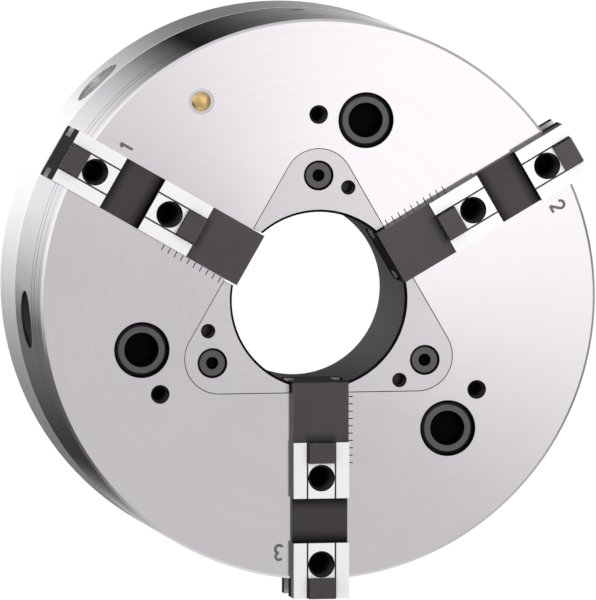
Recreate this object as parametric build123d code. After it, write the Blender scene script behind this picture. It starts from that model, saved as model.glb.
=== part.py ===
from build123d import *
from math import cos, radians, sin, tan
import os

# Three-jaw power lathe chuck with a through-hole, wedge-hook drive and tongue-and-groove base jaws.
# It is modelled about its own axis (local Z) with the rear mounting face at z = 0 and the jaws
# towards +z, then laid down by to_lathe_frame() so that the axis runs along Y and the face looks to -Y.

# ---- overall sizes, mm
BODY_D = 260.0              # outer diameter of body and rear flange
CHUCK_LENGTH = 118.5        # rear mounting face to front face
FLANGE_LENGTH = 43.0        # rear flange alone
BORE_D = 81.0               # free through-hole
EDGE_CHAMFER = 1.2          # bright chamfer round the front face
SMALL_CHAMFER = 0.6         # other outer edges

# ---- clearances
RUN_GAP = 0.05              # radial running clearance of sliding fits
JAW_GAP = 0.03              # jaw to its guideway, each side
LEG_GAP = 0.25              # jaw leg to its pocket, each side
SEAT_GAP = 0.15             # sleeve flange in its recess
END_GAP = 1.0               # room left at the ends of a travel

# ---- motion
WEDGE_ANGLE = 15.0          # wedge slots against the axis, degrees
PISTON_STROKE = 26.0        # rest is mid-stroke
LEG_STROKE = PISTON_STROKE * tan(radians(WEDGE_ANGLE))

# ---- angles about the axis, degrees
JAW_ANGLES = (150, 30, 270)
BETWEEN_JAWS = (90, 210, 330)
BOLT_OFFSET = 15            # face screws and spindle bolts sit this far either side of BETWEEN_JAWS

# ---- front sleeve with its three-lobed flange
SLEEVE_WALL = 4.5
SLEEVE_LENGTH = 67.0
SLEEVE_FLANGE = 11.0
LOBE_R = 16.3
LOBE_REACH = 8.7            # lobe centres beyond the sleeve's outside
SLEEVE_CHAMFER = 1.16
WINDOW_GAP = 0.8            # window in the sleeve, each side of a jaw
SLEEVE_SCREW_REACH = 12.5   # screws beyond the sleeve's outside
JACK_REACH = 8.6            # jacking threads beyond the sleeve's outside
JACK_D = 6.0
PLATE_CHAMFER = 0.25
SEAL_WIDTH = 3.0
SEAL_DEPTH = 2.4
SEAL_BACK = 2.5             # seal groove in from the sleeve's rear end

# ---- wedge piston
PISTON_WALL = 29.0          # sleeve outside to piston outside
PISTON_FRONT = 40.5         # piston front end behind the face, at rest
REAR_ROOM = 3.0             # piston to the bottom of the register, fully back
WEDGE_WEB = 3.4             # wall under the wedge slot at the piston's front end
NECK_DEPTH, NECK_WIDTH = 4.0, 12.0
HOOK_DEPTH, HOOK_WIDTH = 5.0, 20.0
KEYWAY_DEPTH = 4.0

# ---- draw tube ring, M94 x 1.5, and its retainer
TUBE_OVER_BORE = 13.0       # draw tube thread over the through-hole, diameter
TUBE_THREAD_MOUTH = 0.8
RING_HUB_WALL = 3.0
RING_FLANGE = 6.0           # ring flange beyond its hub
RING_LENGTH = 17.0
RETAINER_THICK = 5.0
RETAINER_RIM = 12.0         # retainer beyond the ring's flange
NOTCH_WIDTH, NOTCH_DEPTH = 8.0, 3.0
NOTCH_COUNT = 6

# ---- base jaws
JAW_WIDTH = 26.0
JAW_LENGTH = 100.0
JAW_REACH = 2.5             # inner ends inside the bore at rest
JAW_DEPTH = 26.5            # guided part below the face
JAW_CORNER = 2.0
RAIL_DEPTH = 4.4            # guide rail into the jaw's side
RAIL_TOP, RAIL_BOTTOM = 7.0, 18.5
FLAT_RISE = 6.1             # inner flat above the face
LAND_RISE = 7.6             # ground lands above the face
FLAT_LENGTH = 27.7
CROSS_SLOT_START, CROSS_SLOT_WIDTH, CROSS_SLOT_RISE = 53.6, 20.7, 2.6
TONGUE_WIDTH, TONGUE_RISE = 12.3, 3.0
TONGUE_LENGTH = 9.5
RELIEF_WIDTH, RELIEF_DEPTH = 0.8, 1.0
JAW_HOLES = (44.1, 84.2)    # from the inner end
JAW_THREAD_D, JAW_HOLE_DEPTH = 12.0, 24.0
LEG_OUTER = 18.0            # back of the leg beyond the piston
LEG_FLOOR = 3.0             # leg above the rear flange

# ---- screws: thread, head diameter, head height, hexagon across flats, hexagon depth
M16 = (16.0, 24.0, 16.0, 14.0, 8.0)
M8_LOW = (8.0, 13.0, 5.0, 5.0, 2.8)
M4 = (4.0, 7.0, 2.8, 2.5, 1.6)
BOLT_CIRCLE_D = 171.4
BOLT_HOLE_D = 17.5          # spindle bolts
CLOSE_HOLE_D = 17.0         # body holes of the face screws
BOLT_CBORE_D = 26.0
BOLT_CBORE_DEPTH = 17.0
HEAD_SUNK = 1.1             # heads below the face
M16_ENGAGEMENT = 31.5
TAP_END = 3.0               # tapped hole past the screw's tip
M8_CBORE_D = 14.0
M8_ENGAGEMENT = 11.0
M4_ENGAGEMENT = 6.0
FACE_THREAD_D, FACE_THREAD_DEPTH = 8.0, 20.0
MOUTH = 0.4                 # countersink round a threaded hole, on the radius

# ---- spindle side
REGISTER_D = 220.0
REGISTER_DEPTH = 6.0
DOWEL_D, DOWEL_LENGTH, DOWEL_INSET = 10.0, 24.0, 22.0
DOWEL_ANGLES = (60, 240)
ORING_D, ORING_INSET = 2.5, 11.0

# ---- details on the outside diameter, depths below the front face
GROOVES = ((8.6, 0.5), (19.6, 0.8), (27.6, 0.7))     # depth, width
PIN_D, PIN_BELOW_FACE = 6.0, 58.0
SET_SCREW_LENGTH, SET_SCREW_SUNK, SET_SCREW_HEX = 12.0, 1.0, 3.0
BLIND_D, BLIND_DEPTH, BLIND_ANGLE, BLIND_BELOW_FACE = 27.0, 25.0, 185, 46.0
NIPPLE_HOLE_D, NIPPLE_HOLE_DEPTH, NIPPLE_ANGLE, NIPPLE_HEIGHT = 24.0, 14.0, 133, 26.0
NIPPLE_THREAD_D, NIPPLE_THREAD_LENGTH = 8.0, 8.0
NIPPLE_HEX, NIPPLE_HEX_HIGH = 11.0, 4.5
NIPPLE_STEM_D, NIPPLE_HIGH = 6.5, 12.0

# ---- grease port and marks on the front face
PORT_R, PORT_ANGLE, PORT_D, PORT_DEPTH = 107.6, 120.7, 12.0, 9.0
PORT_BALL_D, PORT_RING_FACE = 9.0, 0.3
TICK_COUNT, TICK_PITCH, TICK_START = 10, 3.4, 45.2
TICK_LENGTH, TICK_WIDTH, MARK_DEPTH = 2.8, 0.45, 0.3
TICK_GAP = 0.2
DIGIT_HIGH, DIGIT_WIDE, DIGIT_STROKE = 6.4, 3.5, 1.3
DIGIT_PLACES = ((16.1, 4.6), (11.9, 6.9), (12.8, 5.7))     # middle in from the rim, and beside the jaw

body_r = BODY_D / 2
face = CHUCK_LENGTH
sleeve_r = BORE_D / 2 + SLEEVE_WALL
piston_r = sleeve_r + PISTON_WALL
bolt_r = BOLT_CIRCLE_D / 2
piston_rear = REGISTER_DEPTH + REAR_ROOM + PISTON_STROKE / 2
piston_front = face - PISTON_FRONT
cavity_top = piston_front + PISTON_STROKE / 2 + 1.5 * END_GAP
jaw_low = face - JAW_DEPTH
jaw_in = BORE_D / 2 - JAW_REACH
jaw_out = jaw_in + JAW_LENGTH
leg_low = FLANGE_LENGTH + LEG_FLOOR
leg_width = JAW_WIDTH - 2 * JAW_CORNER
leg_out = piston_r + LEG_OUTER
slot_low = leg_low - PISTON_STROKE / 2 - 2 * END_GAP
flange_seat = face - SLEEVE_FLANGE
tube_thread_r = (BORE_D + TUBE_OVER_BORE) / 2
ring_hub_r = tube_thread_r + RING_HUB_WALL
ring_flange_r = ring_hub_r + RING_FLANGE
retainer_r = ring_flange_r + RETAINER_RIM
retainer_top = piston_rear + RETAINER_THICK
retainer_screw_r = (ring_flange_r + retainer_r) / 2
plunger_r = (ring_hub_r + ring_flange_r) / 2
ring_top = piston_rear + RING_LENGTH
dowel_r = body_r - DOWEL_INSET
pin_z = face - PIN_BELOW_FACE
pin_tip_r = piston_r - KEYWAY_DEPTH + 0.3
MOUNT_SCREW_ANGLES = [a - BOLT_OFFSET for a in BETWEEN_JAWS]
SPINDLE_BOLT_ANGLES = [a + BOLT_OFFSET for a in BETWEEN_JAWS]
RETAINER_SCREW_ANGLES = range(0, 360, 60)


def disc(radius, low, high, x=0.0, y=0.0):
    return Pos(x, y, low) * Cylinder(radius, high - low, align=(Align.CENTER, Align.CENTER, Align.MIN))


def tube(inner, outer, low, high):
    return disc(outer, low, high) - disc(inner, low - 1, high + 1)


def slab(near, far, half_width, low, high):
    """A box along the radial X direction."""
    return Pos((near + far) / 2, 0, (low + high) / 2) * Box(far - near, 2 * half_width, high - low)


def prism(points, half_width):
    """An outline in radius and height, made as thick as a jaw part."""
    outline = make_face(Plane.XZ * Polyline(*points, close=True))
    return extrude(outline, half_width, both=True)


def around(angle, shape):
    return Rot(0, 0, angle) * shape


def polar(radius, angle):
    return radius * cos(radians(angle)), radius * sin(radians(angle))


def holes(angles, radius, hole_r, low, high):
    return [disc(hole_r, low, high, *polar(radius, a)) for a in angles]


def threaded_hole(hole_r, low, top, x=0.0, y=0.0):
    """A cutter for a threaded hole at its nominal diameter, with a countersunk mouth."""
    return disc(hole_r, low, top + 1, x, y) + Pos(x, y, top - MOUTH / 2) * Cone(hole_r, hole_r + MOUTH, MOUTH)


def radial(angle, height, shape):
    """Turn a shape made along Z so that it points outwards along a radius."""
    return Rot(0, 0, angle) * Pos(0, 0, height) * Rot(0, 90, 0) * shape


def hexagon(across_flats, depth):
    return extrude(RegularPolygon(across_flats / 2, 6, major_radius=False), -depth)


def socket_screw(size, length):
    """A socket screw that hangs down from z = 0, the top of its head."""
    thread, head_d, head_high, hexagon_af, hexagon_deep = size
    head = disc(head_d / 2, -head_high, 0)
    head = chamfer(head.edges().group_by(Axis.Z)[-1], head_d * 0.05)
    shank = disc(thread / 2, -head_high - length, -head_high)
    shank = chamfer(shank.edges().group_by(Axis.Z)[0], thread * 0.08)
    mouth = Pos(0, 0, -0.08 * hexagon_af) * Cone(
        hexagon_af * 0.49, hexagon_af * 0.58, 0.08 * hexagon_af, align=(Align.CENTER, Align.CENTER, Align.MIN)
    )
    return head + shank - hexagon(hexagon_af, hexagon_deep) - mouth


def wedge_r(height, offset=0.0):
    """Radius of the wedge flat at a height, at rest; it falls towards the front."""
    front_r = sleeve_r + RUN_GAP + WEDGE_WEB + HOOK_DEPTH + NECK_DEPTH
    return front_r + offset + (piston_front - height) * tan(radians(WEDGE_ANGLE))


def wedge_prism(inner, outer, low, high, half_width):
    """A body between two offsets of the wedge flat; an outer of None reaches past the piston."""
    far_low = wedge_r(low, outer) if outer is not None else leg_out
    far_high = wedge_r(high, outer) if outer is not None else leg_out
    outline = [(wedge_r(low, inner), low), (far_low, low), (far_high, high), (wedge_r(high, inner), high)]
    return prism(outline, half_width)


def guide_profile(gap, top):
    """Cross-section of the guided part of a jaw, or of its guideway when it has a gap."""
    low = jaw_low - gap
    half = JAW_WIDTH / 2 + gap
    outline = Pos(0, (low + top) / 2) * Rectangle(2 * half, top - low)
    outline = fillet(outline.vertices().group_by(Axis.Y)[0], JAW_CORNER + gap)
    rail_in = JAW_WIDTH / 2 - RAIL_DEPTH + gap
    rail_low, rail_high = face - RAIL_BOTTOM + gap, face - RAIL_TOP - gap
    rail = Rectangle(half + 1 - rail_in, rail_high - rail_low)
    side = (half + 1 + rail_in) / 2
    rail_mid = (rail_low + rail_high) / 2
    return outline - Pos(side, rail_mid) * rail - Pos(-side, rail_mid) * rail


def lobed_plate(grow, low, high):
    centres = [polar(sleeve_r + LOBE_REACH, a) for a in BETWEEN_JAWS]
    plate = offset(make_face(Polyline(*centres, close=True)), LOBE_R + grow, kind=Kind.ARC)
    return Pos(0, 0, low) * extrude(plate, high - low)


def digit_lines(number):
    """Centre lines of the digits 1 to 3, standing on the X axis."""
    w, h = DIGIT_WIDE, DIGIT_HIGH
    if number == 1:
        return [Line((w / 2, 0), (w / 2, h)), Line((w / 2, h), (w * 0.1, h * 0.75))]
    r = w / 2
    if number == 2:
        turn = radians(-35)
        end = (r + r * cos(turn), h - r + r * sin(turn))
        return [ThreePointArc((0, h - r), (r, h), end), Line(end, (0, 0)), Line((0, 0), (w, 0))]
    upper, lower = h * 0.24, h * 0.26
    top = ThreePointArc((0.15 * w, h - 0.35 * upper), (r + upper, h - upper), (r, h - 2 * upper))
    return [top, ThreePointArc((r, 2 * lower), (r + lower, lower), (0.02 * w, 0.35 * lower))]


def digit_mark(number):
    """A digit as a cutter beside the jaw at angle 0, its top outwards."""
    strokes = Sketch() + [trace(line, DIGIT_STROKE) for line in digit_lines(number)]
    inset, beside = DIGIT_PLACES[number - 1]
    side = DIGIT_WIDE / 2 - JAW_WIDTH / 2 - beside
    place = Pos(body_r - inset - DIGIT_HIGH / 2, side, face - MARK_DEPTH)
    return place * Rot(0, 0, -90) * extrude(strokes, MARK_DEPTH + 1)


def scale_marks():
    side = JAW_WIDTH / 2 + TICK_GAP + TICK_LENGTH / 2
    mark = Box(TICK_WIDTH, TICK_LENGTH, 2 * MARK_DEPTH)
    return [Pos(TICK_START + i * TICK_PITCH, side, face) * mark for i in range(TICK_COUNT)]


def chuck_body():
    body = disc(body_r, FLANGE_LENGTH, face)
    rims = body.edges().filter_by(GeomType.CIRCLE).group_by(Axis.Z)
    body = chamfer(rims[-1], EDGE_CHAMFER)
    body = chamfer(body.edges().filter_by(GeomType.CIRCLE).group_by(Axis.Z)[0], SMALL_CHAMFER)
    cutters = [tube(body_r - width / 2, body_r + 5, face - deep - width / 2, face - deep + width / 2)
               for deep, width in GROOVES]
    cutters.append(disc(piston_r + RUN_GAP, FLANGE_LENGTH - 1, cavity_top))
    cutters.append(disc(sleeve_r + SEAT_GAP, 0, face + 1))
    cutters.append(lobed_plate(SEAT_GAP, flange_seat, face + 1))
    guideway = extrude(Plane.YZ * guide_profile(JAW_GAP, face + 1), body_r + 20)
    pocket_out = leg_out + LEG_STROKE / 2 + END_GAP
    pocket = slab(piston_r - 10, pocket_out, leg_width / 2 + LEG_GAP, 0, jaw_low)
    for number, angle in enumerate(JAW_ANGLES, start=1):
        cutters += [around(angle, part) for part in [guideway, pocket, digit_mark(number), *scale_marks()]]
    head_seat = face - HEAD_SUNK - M16[2]
    cutters += holes(MOUNT_SCREW_ANGLES, bolt_r, BOLT_CBORE_D / 2, head_seat, face + 1)
    cutters += holes(MOUNT_SCREW_ANGLES, bolt_r, CLOSE_HOLE_D / 2, 0, face)
    thread_low = face - FACE_THREAD_DEPTH
    cutters += [threaded_hole(FACE_THREAD_D / 2, thread_low, face, *polar(bolt_r, a)) for a in BETWEEN_JAWS]
    screw_low = flange_seat - M8_ENGAGEMENT - 1
    cutters += holes(BETWEEN_JAWS, sleeve_r + SLEEVE_SCREW_REACH, M8_LOW[0] / 2, screw_low, face)
    cutters += [radial(a, pin_z, disc(PIN_D / 2, piston_r - 1, body_r + 1)) for a in BETWEEN_JAWS]
    blind = disc(BLIND_D / 2, body_r - BLIND_DEPTH, body_r + 1)
    cutters.append(radial(BLIND_ANGLE, face - BLIND_BELOW_FACE, blind))
    cutters += holes([PORT_ANGLE], PORT_R, PORT_D / 2, face - PORT_DEPTH, face + 1)
    cutters += holes([PORT_ANGLE], PORT_R, 2.0, face - 2 * PORT_DEPTH, face)
    cutters += holes(DOWEL_ANGLES, dowel_r, DOWEL_D / 2, 0, FLANGE_LENGTH + DOWEL_LENGTH / 2)
    return body - cutters


def rear_flange():
    flange = disc(body_r, 0, FLANGE_LENGTH)
    flange = chamfer(flange.edges().filter_by(GeomType.CIRCLE), SMALL_CHAMFER)
    cutters = [disc(REGISTER_D / 2, -1, REGISTER_DEPTH), disc(piston_r + RUN_GAP, 0, FLANGE_LENGTH + 1)]
    top = FLANGE_LENGTH + 1
    cutters += holes(SPINDLE_BOLT_ANGLES, bolt_r, BOLT_HOLE_D / 2, 0, FLANGE_LENGTH)
    cutters += holes(SPINDLE_BOLT_ANGLES, bolt_r, BOLT_CBORE_D / 2, FLANGE_LENGTH - BOLT_CBORE_DEPTH, top)
    tapped_low = FLANGE_LENGTH - M16_ENGAGEMENT - TAP_END
    cutters += holes(MOUNT_SCREW_ANGLES, bolt_r, M16[0] / 2, tapped_low, top)
    cutters += holes(DOWEL_ANGLES, dowel_r, DOWEL_D / 2, FLANGE_LENGTH - DOWEL_LENGTH / 2, top)
    floor_r = body_r - NIPPLE_HOLE_DEPTH
    cutters.append(radial(NIPPLE_ANGLE, NIPPLE_HEIGHT, disc(NIPPLE_HOLE_D / 2, floor_r, body_r + 1)))
    nipple_thread = disc(NIPPLE_THREAD_D / 2, floor_r - NIPPLE_THREAD_LENGTH, body_r)
    cutters.append(radial(NIPPLE_ANGLE, NIPPLE_HEIGHT, nipple_thread))
    groove_r = body_r - ORING_INSET
    cutters.append(tube(groove_r - ORING_D, groove_r, FLANGE_LENGTH - ORING_D, FLANGE_LENGTH + 1))
    return flange - cutters


def flange_o_ring():
    middle = body_r - ORING_INSET - ORING_D / 2
    return Pos(0, 0, FLANGE_LENGTH - ORING_D / 2) * Torus(middle, ORING_D / 2)


def flange_dowel_pins():
    pins = []
    for angle in DOWEL_ANGLES:
        pin = disc(DOWEL_D / 2, FLANGE_LENGTH - DOWEL_LENGTH / 2, FLANGE_LENGTH + DOWEL_LENGTH / 2)
        pins.append(Pos(*polar(dowel_r, angle)) * chamfer(pin.edges().filter_by(GeomType.CIRCLE), 0.8))
    return pins


def center_sleeve():
    rear = face - SLEEVE_LENGTH
    plate = lobed_plate(0, flange_seat, face)
    plate = chamfer(plate.faces().sort_by(Axis.Z)[-1].edges(), PLATE_CHAMFER)
    sleeve = disc(sleeve_r, rear, flange_seat + 1) + plate - disc(BORE_D / 2, rear - 1, face + 1)
    mouth = Cone(BORE_D / 2, BORE_D / 2 + SLEEVE_CHAMFER, SLEEVE_CHAMFER)
    front_mouth = Pos(0, 0, face - SLEEVE_CHAMFER / 2) * mouth
    window = slab(0, piston_r + 10, JAW_WIDTH / 2 + WINDOW_GAP, jaw_low - WINDOW_GAP, face + 1)
    cutters = [front_mouth] + [around(a, window) for a in JAW_ANGLES]
    screw_r = sleeve_r + SLEEVE_SCREW_REACH
    cutters += holes(BETWEEN_JAWS, screw_r, M8_CBORE_D / 2, face - HEAD_SUNK / 2 - M8_LOW[2], face + 1)
    cutters += holes(BETWEEN_JAWS, screw_r, M8_LOW[0] / 2 + 0.4, flange_seat - 1, face)
    cutters += [threaded_hole(JACK_D / 2, flange_seat - 1, face, *polar(sleeve_r + JACK_REACH, a))
                for a in MOUNT_SCREW_ANGLES]
    cutters.append(tube(sleeve_r - SEAL_DEPTH, sleeve_r + 1, rear + SEAL_BACK, rear + SEAL_BACK + SEAL_WIDTH))
    return sleeve - cutters


def sleeve_seal():
    low = face - SLEEVE_LENGTH + SEAL_BACK
    return tube(sleeve_r - SEAL_DEPTH, sleeve_r, low, low + SEAL_WIDTH)


def wedge_piston():
    piston = disc(piston_r, piston_rear, piston_front)
    piston = chamfer(piston.edges().filter_by(GeomType.CIRCLE), SMALL_CHAMFER)
    cutters = [disc(sleeve_r + RUN_GAP, 0, face), disc(ring_flange_r + RUN_GAP, 0, ring_top + RUN_GAP),
               disc(retainer_r + RUN_GAP, 0, retainer_top)]
    top = piston_front + 1
    slot = [wedge_prism(0, None, slot_low, top, leg_width / 2 + LEG_GAP),
            wedge_prism(-NECK_DEPTH, 1, slot_low, top, NECK_WIDTH / 2 + RUN_GAP),
            wedge_prism(-NECK_DEPTH - HOOK_DEPTH, -NECK_DEPTH, slot_low, top, HOOK_WIDTH / 2 + RUN_GAP)]
    cutters += [around(angle, part) for angle in JAW_ANGLES for part in slot]
    keyway = slab(piston_r - KEYWAY_DEPTH, piston_r + 1, PIN_D / 2 + RUN_GAP, piston_rear - 1, top)
    cutters += [around(a, keyway) for a in BETWEEN_JAWS]
    screw_end = retainer_top + M4_ENGAGEMENT + 1
    cutters += holes(RETAINER_SCREW_ANGLES, retainer_screw_r, M4[0] / 2, piston_rear, screw_end)
    return piston - cutters


def draw_tube_ring():
    low = retainer_top + RUN_GAP
    ring = disc(ring_hub_r, piston_rear, low + 1) + disc(ring_flange_r, low, ring_top)
    ring -= disc(tube_thread_r, 0, face)
    mouth = Cone(tube_thread_r + TUBE_THREAD_MOUTH, tube_thread_r, TUBE_THREAD_MOUTH)
    lead_in = Pos(0, 0, piston_rear + TUBE_THREAD_MOUTH / 2) * mouth
    notch_end = piston_rear + NOTCH_DEPTH
    notch = slab(tube_thread_r - 1, ring_hub_r + 1, NOTCH_WIDTH / 2, piston_rear - 1, notch_end)
    step = 360 / NOTCH_COUNT
    return ring - [lead_in] - [around(i * step, notch) for i in range(NOTCH_COUNT)]


def ring_retainer():
    plate = tube(ring_hub_r + RUN_GAP, retainer_r, piston_rear, retainer_top)
    cutters = holes(RETAINER_SCREW_ANGLES, retainer_screw_r, M4[0] / 2 + 0.25, 0, face)
    cutters += holes(RETAINER_SCREW_ANGLES, retainer_screw_r, M4[1] / 2 + 0.25, 0, piston_rear + M4[2] + 0.2)
    cutters += holes(BETWEEN_JAWS, plunger_r, 2.0, 0, face)
    return plate - cutters


def ring_retainer_screws():
    screw = Rot(180, 0, 0) * socket_screw(M4, M4_ENGAGEMENT + RETAINER_THICK - M4[2] - 0.2)
    return [Pos(*polar(retainer_screw_r, a), piston_rear + 0.2) * screw for a in RETAINER_SCREW_ANGLES]


def ring_detent_plungers():
    """Spring plungers whose tips bear on the ring's flange and hold it by friction."""
    body = disc(2.0, piston_rear + 0.3, retainer_top) - disc(0.7, piston_rear, piston_rear + 1.8)
    return [Pos(*polar(plunger_r, a)) * body for a in BETWEEN_JAWS]


def base_jaw(angle):
    top = face + LAND_RISE
    jaw = Pos(jaw_in, 0, 0) * extrude(Plane.YZ * guide_profile(0, top), JAW_LENGTH)
    flat_end = jaw_in + FLAT_LENGTH
    slot_in = jaw_in + CROSS_SLOT_START
    slot_end = slot_in + CROSS_SLOT_WIDTH
    half = JAW_WIDTH / 2
    jaw -= slab(jaw_in - 1, flat_end, half + 1, face + FLAT_RISE, top + 1)
    jaw -= slab(slot_in, slot_end, half + 1, face + CROSS_SLOT_RISE, top + 1)
    jaw += slab(flat_end, flat_end + TONGUE_LENGTH, TONGUE_WIDTH / 2, top, top + TONGUE_RISE)
    jaw += slab(jaw_out - TONGUE_LENGTH, jaw_out, TONGUE_WIDTH / 2, top, top + TONGUE_RISE)
    relief = [slab(a, b, RELIEF_WIDTH / 2, top - RELIEF_DEPTH, top + 1)
              for a, b in ((flat_end - 1, slot_in + 1), (slot_end - 1, jaw_out + 1))]
    side = TONGUE_WIDTH / 2 + RELIEF_WIDTH / 2
    jaw -= [Pos(0, y, 0) * part for part in relief for y in (-side, side)]
    leg = wedge_prism(RUN_GAP, None, leg_low, jaw_low, leg_width / 2)
    hook_top = piston_front - 2 * END_GAP
    neck = wedge_prism(-NECK_DEPTH - 0.5, 1, leg_low, hook_top, NECK_WIDTH / 2)
    hook_floor = -NECK_DEPTH - HOOK_DEPTH + RUN_GAP
    hook = wedge_prism(hook_floor, -NECK_DEPTH - RUN_GAP, leg_low, hook_top, HOOK_WIDTH / 2)
    jaw = jaw + leg + neck + hook
    for distance in JAW_HOLES:
        jaw -= disc(JAW_THREAD_D / 2, top - JAW_HOLE_DEPTH, top + 1, jaw_in + distance, 0)
    return around(angle, jaw)


def mounting_screws():
    shank = face - HEAD_SUNK - M16[2] - FLANGE_LENGTH + M16_ENGAGEMENT
    screw = socket_screw(M16, shank)
    return [Pos(*polar(bolt_r, a), face - HEAD_SUNK) * screw for a in MOUNT_SCREW_ANGLES]


def sleeve_screws():
    top = face - HEAD_SUNK / 2
    screw = socket_screw(M8_LOW, top - M8_LOW[2] - flange_seat + M8_ENGAGEMENT)
    return [Pos(*polar(sleeve_r + SLEEVE_SCREW_REACH, a), top) * screw for a in BETWEEN_JAWS]


def piston_guide_pins():
    """Pins that run in the keyways and keep the piston from turning."""
    pin = disc(PIN_D / 2, pin_tip_r, body_r - SET_SCREW_SUNK - SET_SCREW_LENGTH)
    pin = chamfer(pin.edges().filter_by(GeomType.CIRCLE), 0.5)
    return [radial(a, pin_z, pin) for a in BETWEEN_JAWS]


def radial_set_screws():
    top = body_r - SET_SCREW_SUNK
    screw = disc(PIN_D / 2, top - SET_SCREW_LENGTH, top)
    screw = chamfer(screw.edges().filter_by(GeomType.CIRCLE), 0.5)
    screw -= Pos(0, 0, top) * hexagon(SET_SCREW_HEX, 3)
    return [radial(a, pin_z, screw) for a in BETWEEN_JAWS]


def grease_nipple():
    floor_r = body_r - NIPPLE_HOLE_DEPTH
    thread = disc(NIPPLE_THREAD_D / 2, floor_r - NIPPLE_THREAD_LENGTH + 1, floor_r)
    base = Pos(0, 0, floor_r + NIPPLE_HEX_HIGH) * hexagon(NIPPLE_HEX, NIPPLE_HEX_HIGH)
    stem_top = floor_r + NIPPLE_HIGH - 3
    stem = disc(NIPPLE_STEM_D / 2 - 0.9, floor_r + NIPPLE_HEX_HIGH, stem_top)
    ball = Pos(0, 0, stem_top) * Sphere(NIPPLE_STEM_D / 2) - disc(5, stem_top + 2.3, stem_top + 9)
    nipple = thread + base + stem + ball - disc(0.8, stem_top - 2, stem_top + 9)
    return radial(NIPPLE_ANGLE, NIPPLE_HEIGHT, nipple)


def grease_port_insert():
    insert = disc(PORT_D / 2, face - PORT_DEPTH, face - PORT_RING_FACE)
    insert -= disc(PORT_BALL_D / 2, face - PORT_DEPTH + 3, face + 1)
    insert -= disc(2, face - PORT_DEPTH - 1, face)
    return Pos(*polar(PORT_R, PORT_ANGLE)) * insert


def grease_port_valve():
    """Brass valve with a low domed face, set into the insert."""
    rise = 1.4
    low, shoulder = face - PORT_DEPTH + 3, face - 0.6
    half = PORT_BALL_D / 2
    ball_r = (half**2 + rise**2) / (2 * rise)
    dome = Pos(0, 0, shoulder + rise - ball_r) * Sphere(ball_r) & disc(half, shoulder, shoulder + rise + 1)
    return Pos(*polar(PORT_R, PORT_ANGLE)) * (disc(half, low, shoulder) + dome)


def to_lathe_frame(shapes):
    solids = shapes if isinstance(shapes, list) else [shapes]
    return Rot(90, 0, 0) * Compound(children=[s for shape in solids for s in shape.solids()])


NODES = {
    "chuck_body": chuck_body,
    "rear_flange": rear_flange,
    "flange_o_ring": flange_o_ring,
    "flange_dowel_pins": flange_dowel_pins,
    "center_sleeve": center_sleeve,
    "sleeve_seal": sleeve_seal,
    "wedge_piston": wedge_piston,
    "draw_tube_ring": draw_tube_ring,
    "ring_retainer": ring_retainer,
    "ring_retainer_screws": ring_retainer_screws,
    "ring_detent_plungers": ring_detent_plungers,
    "mounting_screws": mounting_screws,
    "sleeve_screws": sleeve_screws,
    "piston_guide_pins": piston_guide_pins,
    "radial_set_screws": radial_set_screws,
    "grease_nipple": grease_nipple,
    "grease_port_insert": grease_port_insert,
    "grease_port_valve": grease_port_valve,
}

os.makedirs("parts", exist_ok=True)
for name, make in NODES.items():
    export_step(to_lathe_frame(make()), f"parts/{name}.step")
for number, angle in enumerate(JAW_ANGLES, start=1):
    export_step(to_lathe_frame(base_jaw(angle)), f"parts/base_jaw_{number}.step")
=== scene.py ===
import bpy
from math import cos, pi, radians, sin
from mathutils import Matrix, Vector


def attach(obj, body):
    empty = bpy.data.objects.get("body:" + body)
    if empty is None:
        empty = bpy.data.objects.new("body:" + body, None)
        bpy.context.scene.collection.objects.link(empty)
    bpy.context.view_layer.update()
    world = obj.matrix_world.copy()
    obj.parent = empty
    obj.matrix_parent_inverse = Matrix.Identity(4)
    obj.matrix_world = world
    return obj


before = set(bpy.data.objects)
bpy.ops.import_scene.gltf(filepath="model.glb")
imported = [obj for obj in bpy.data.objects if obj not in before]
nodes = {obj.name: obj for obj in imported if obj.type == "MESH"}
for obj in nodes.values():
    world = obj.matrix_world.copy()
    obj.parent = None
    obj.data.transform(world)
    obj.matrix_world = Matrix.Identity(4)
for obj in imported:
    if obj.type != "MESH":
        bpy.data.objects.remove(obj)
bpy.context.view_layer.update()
scene = bpy.context.scene
bpy.ops.object.select_all(action="DESELECT")
print("chuck loaded:", len(nodes), "nodes")

frontFace = -0.1185         # the chuck's face, along the axis
jawAngles = {1: 150, 2: 30, 3: 270}
betweenJaws = (90, 210, 330)
screwAngles = (75, 195, 315)
jawHoleReach = (82.1, 122.2)    # places across the axis, in millimetres
screwReach, sleeveScrewReach, jackReach = 85.7, 57.5, 53.6

# depths along the axis and reaches across it, in metres, that part one surface from the next
underFace, underMarks = -0.11845, -0.11815
insideRim, insideBoreEdge = 0.12855, 0.0458
hairStep = 0.00001


# ---------- small helpers for node trees

def put(tree, kind, inputs=None, **settings):
    node = tree.nodes.new(kind)
    for key, value in settings.items():
        setattr(node, key, value)
    for key, value in (inputs or {}).items():
        if isinstance(value, bpy.types.NodeSocket):
            tree.links.new(value, node.inputs[key])
        else:
            node.inputs[key].default_value = value
    return node


def calc(tree, operation, a, b=0.0):
    return put(tree, "ShaderNodeMath", {0: a, 1: b}, operation=operation).outputs[0]


def times(tree, a, b):
    return calc(tree, "MULTIPLY", a, b)


def rescale(tree, value, low, high, newLow=0.0, newHigh=1.0, soft=False):
    kind = "SMOOTHSTEP" if soft else "LINEAR"
    sockets = {"Value": value, "From Min": low, "From Max": high, "To Min": newLow, "To Max": newHigh}
    return put(tree, "ShaderNodeMapRange", sockets, interpolation_type=kind).outputs[0]


def within(tree, value, low, high):
    return times(tree, calc(tree, "GREATER_THAN", value, low), calc(tree, "LESS_THAN", value, high))


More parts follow.
